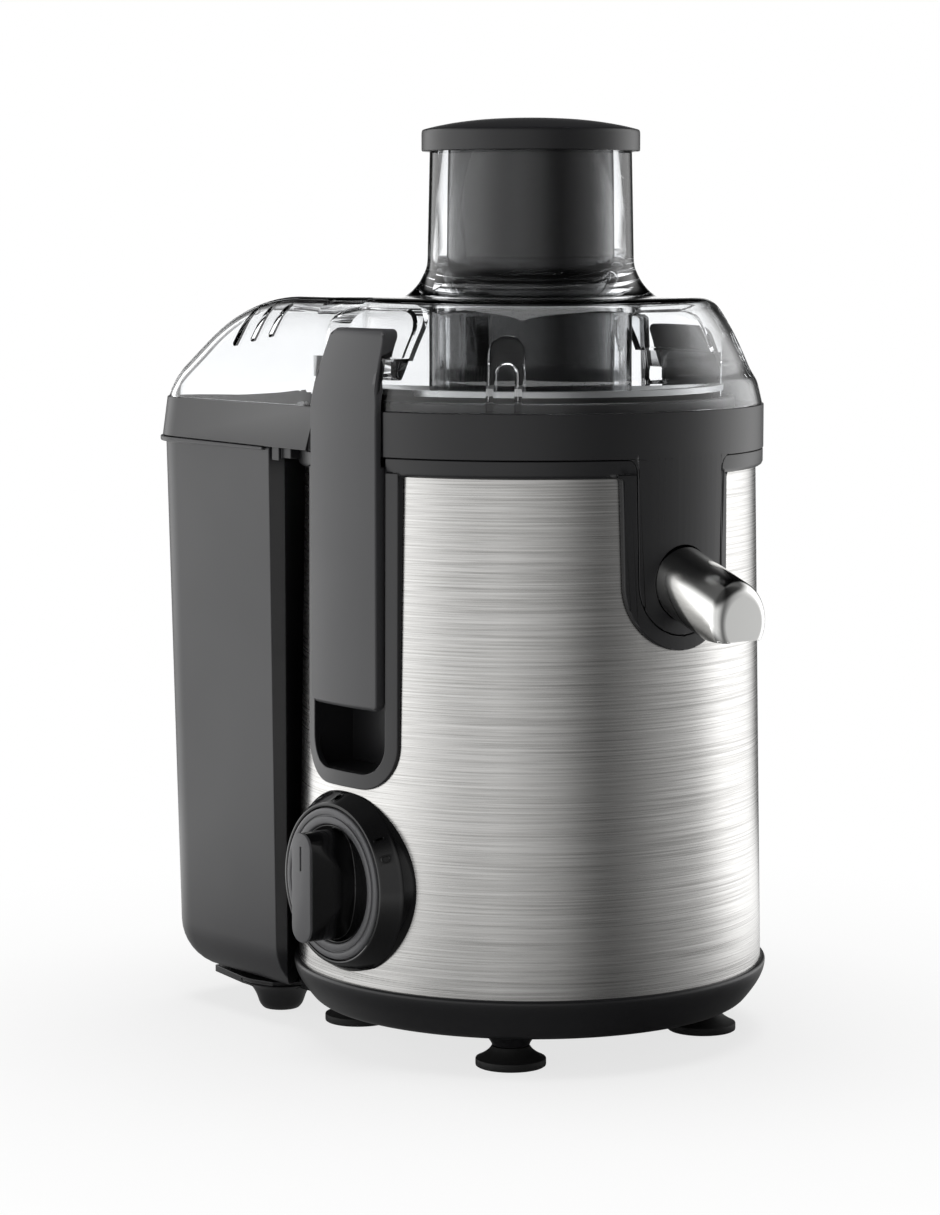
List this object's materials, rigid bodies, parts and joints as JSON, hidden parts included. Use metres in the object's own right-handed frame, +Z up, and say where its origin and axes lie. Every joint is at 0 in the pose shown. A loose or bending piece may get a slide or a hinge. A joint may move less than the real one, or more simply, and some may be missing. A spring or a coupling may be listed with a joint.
{
  "type": "centrifugal juicer",
  "caption": "Countertop centrifugal juicer: steel-clad motor base, clear lid with a wide feed chute and pusher, spinning sieve, chrome spout, side clamps, speed knob and a rear pulp bin.",
  "frame": {"origin": "on the ground under the middle of the whole juicer's box, as it stands on its feet", "axes": "+Z up; -Y is the front, where the spout points; +Y is the rear, with the pulp bin; -X is the side with the speed knob"},
  "size_m": [0.2072, 0.2736, 0.3622],
  "materials": {
    "black_abs": "satin",
    "grey_abs": "satin",
    "gloss_black": "gloss",
    "brushed_skin": "brushed along the girth",
    "sieve_steel": "satin",
    "spout_chrome": "polished",
    "clear_plastic": "polished, clear",
    "rubber": "matt",
    "fitting_steel": "satin",
    "winding_copper": "lacquered",
    "core_iron": "laminated",
    "bracket_alloy": "die-cast",
    "switch_plastic": "matt",
    "block_plastic": "matt"
  },
  "bodies": {
    "base": {"lid": "clear_plastic", "juice_collector": "black_abs", "spout_seal": "rubber", "clamp_pin_left": "fitting_steel", "clamp_pin_right": "fitting_steel", "trim_frame": "black_abs", "steel_skin": "brushed_skin", "inner_housing": "black_abs", "base_pan": "black_abs", "base_screws": "fitting_steel", "cord_gland": "rubber", "foot_front_left": "rubber", "foot_front_right": "rubber", "foot_rear_left": "rubber", "foot_rear_right": "rubber", "knob_bezel": "gloss_black", "rotary_switch": "switch_plastic", "shaft_seal": "rubber", "stator": "core_iron", "field_coils": "winding_copper", "brush_left": "switch_plastic", "brush_right": "switch_plastic", "upper_bearing": "fitting_steel", "lower_bearing": "fitting_steel", "upper_bracket": "bracket_alloy", "lower_bracket": "bracket_alloy", "motor_screws": "fitting_steel", "rubber_mounts": "rubber", "wiring_block": "block_plastic"},
    "pusher": {"pusher_cap": "black_abs", "pusher_body": "black_abs"},
    "left_clamp": {"clamp_left": "grey_abs"},
    "right_clamp": {"clamp_right": "grey_abs"},
    "bin": {"pulp_bin": "grey_abs"},
    "knob": {"knob_dial": "grey_abs", "knob_grip": "gloss_black", "knob_face": "grey_abs", "switch_shaft": "fitting_steel"},
    "rotor": {"filter_basket": "sieve_steel", "basket_hub": "black_abs", "grater_disc": "sieve_steel", "basket_nut": "fitting_steel", "drive_coupling": "black_abs", "motor_shaft": "fitting_steel", "armature": "winding_copper", "commutator": "winding_copper", "cooling_fan": "grey_abs"},
    "spout": {"spout": "spout_chrome"}
  },
  "joints": [
    {"name": "clamp_left_open", "type": "hinge", "parent": "base", "child": "left_clamp", "pos_m": [-0.07395, -0.01165, 0.165], "axis": [0, -1, 0], "range_deg": [0, 25]},
    {"name": "clamp_right_open", "type": "hinge", "parent": "base", "child": "right_clamp", "pos_m": [0.09205, -0.01165, 0.165], "axis": [0, 1, 0], "range_deg": [0, 25]},
    {"name": "knob_turn", "type": "hinge", "parent": "base", "child": "knob", "pos_m": [-0.08445, -0.01165, 0.069], "axis": [1, 0, 0], "range_deg": [-30, 70]},
    {"name": "pusher_slide", "type": "slide", "parent": "base", "child": "pusher", "axis": [0, 0, 1], "range_m": [0, 0.11]},
    {"name": "rotor_spin", "type": "hinge", "parent": "base", "child": "rotor", "pos_m": [0.00905, -0.01165, 0.12], "axis": [0, 0, 1], "continuous": true},
    {"name": "bin_slide", "type": "slide", "parent": "base", "child": "bin", "axis": [0, 1, 0], "range_m": [0, 0.12]},
    {"name": "spout_twist", "type": "hinge", "parent": "base", "child": "spout", "pos_m": [0.00905, -0.10365, 0.1863], "axis": [0, -0.9361, -0.3518], "range_deg": [0, 180]}
  ]
}
